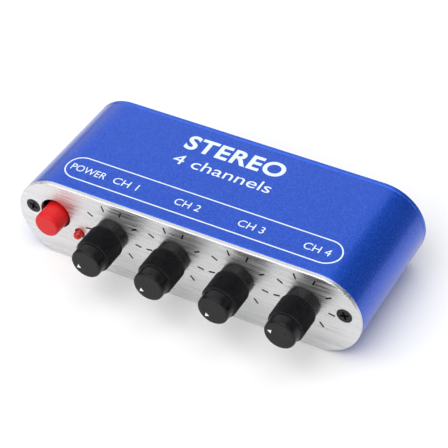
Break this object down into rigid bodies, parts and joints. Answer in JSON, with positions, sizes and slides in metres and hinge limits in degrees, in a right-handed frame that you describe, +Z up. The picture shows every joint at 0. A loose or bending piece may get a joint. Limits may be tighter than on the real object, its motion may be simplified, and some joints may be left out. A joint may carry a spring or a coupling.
{
  "type": "mixing console",
  "caption": "Compact mixing console in a blue round-ended extruded case, with fluted black volume knobs, a red push button and a lamp on a brushed front plate, and jacks behind.",
  "frame": {"origin": "middle of the case's flat underside", "axes": "+X to the right along the front, +Y from the front plate to the rear plate, +Z up"},
  "size_m": [0.1304, 0.0695, 0.0316],
  "materials": {
    "case_blue": "satin blue anodised, fine sand-blasted grain",
    "front_plate": "brushed along the width",
    "rear_plate_blue": "satin blue anodised",
    "screw_black": "black oxide",
    "board_green": "solder mask",
    "ink_black": "printed",
    "ink_white": "printed",
    "knob_black": "satin moulded",
    "pointer_white": "moulded",
    "pot_shaft": "turned",
    "pot_frame": "plated",
    "pot_decks": "phenolic board",
    "terminals": "tinned",
    "button_red": "gloss moulded",
    "plunger_white": "moulded",
    "switch_black": "moulded",
    "spring_steel": "drawn wire",
    "lamp_red": "tinted epoxy",
    "jack_black": "moulded",
    "contact_brass": "spring brass",
    "inlet_pin": "nickel plated",
    "chip_black": "moulded",
    "can_sleeve": "shrink sleeve",
    "film_red": "dipped",
    "resistor_black": "ceramic chip"
  },
  "bodies": {
    "case": {"shell": "case_blue", "front_plate": "front_plate", "rear_plate": "rear_plate_blue", "front_screws": "screw_black", "rear_screws": "screw_black", "circuit_board": "board_green", "dial_marks": "ink_black", "top_print": "ink_white", "vol1_bushing": "pot_frame", "vol1_decks": "pot_decks", "vol1_pins": "terminals", "vol2_bushing": "pot_frame", "vol2_decks": "pot_decks", "vol2_pins": "terminals", "vol3_bushing": "pot_frame", "vol3_decks": "pot_decks", "vol3_pins": "terminals", "vol4_bushing": "pot_frame", "vol4_decks": "pot_decks", "vol4_pins": "terminals", "power_switch": "switch_black", "power_spring": "spring_steel", "power_pins": "terminals", "lamp_lens": "lamp_red", "lamp_leads": "terminals", "in1_jack": "jack_black", "in1_contacts": "contact_brass", "in2_jack": "jack_black", "in2_contacts": "contact_brass", "in3_jack": "jack_black", "in3_contacts": "contact_brass", "in4_jack": "jack_black", "in4_contacts": "contact_brass", "out_jack": "jack_black", "out_contacts": "contact_brass", "inlet_body": "jack_black", "inlet_pin": "inlet_pin", "inlet_contacts": "contact_brass", "amplifier_chips": "chip_black", "supply_capacitors": "can_sleeve", "film_capacitors": "film_red", "resistors": "resistor_black"},
    "volume_1": {"vol1_knob": "knob_black", "vol1_pointer": "pointer_white", "vol1_shaft": "pot_shaft"},
    "volume_2": {"vol2_knob": "knob_black", "vol2_pointer": "pointer_white", "vol2_shaft": "pot_shaft"},
    "volume_3": {"vol3_knob": "knob_black", "vol3_pointer": "pointer_white", "vol3_shaft": "pot_shaft"},
    "volume_4": {"vol4_knob": "knob_black", "vol4_pointer": "pointer_white", "vol4_shaft": "pot_shaft"},
    "power": {"power_button": "button_red", "power_plunger": "plunger_white"}
  },
  "joints": [
    {"name": "vol1_turn", "type": "hinge", "parent": "case", "child": "volume_1", "pos_m": [-0.027, -0.0258, 0.0191], "axis": [0, 1, 0], "range_deg": [-15, 265]},
    {"name": "vol2_turn", "type": "hinge", "parent": "case", "child": "volume_2", "pos_m": [-0.003, -0.0258, 0.0191], "axis": [0, 1, 0], "range_deg": [-10, 270]},
    {"name": "vol3_turn", "type": "hinge", "parent": "case", "child": "volume_3", "pos_m": [0.021, -0.0258, 0.0191], "axis": [0, 1, 0], "range_deg": [0, 280]},
    {"name": "vol4_turn", "type": "hinge", "parent": "case", "child": "volume_4", "pos_m": [0.045, -0.0258, 0.0191], "axis": [0, 1, 0], "range_deg": [-60, 220]},
    {"name": "power_press", "type": "slide", "parent": "case", "child": "power", "axis": [0, 1, 0], "range_m": [0, 0.0023], "stiffness_N_per_m": 700, "springref_m": -0.0015, "deforming": ["power_spring"]}
  ]
}
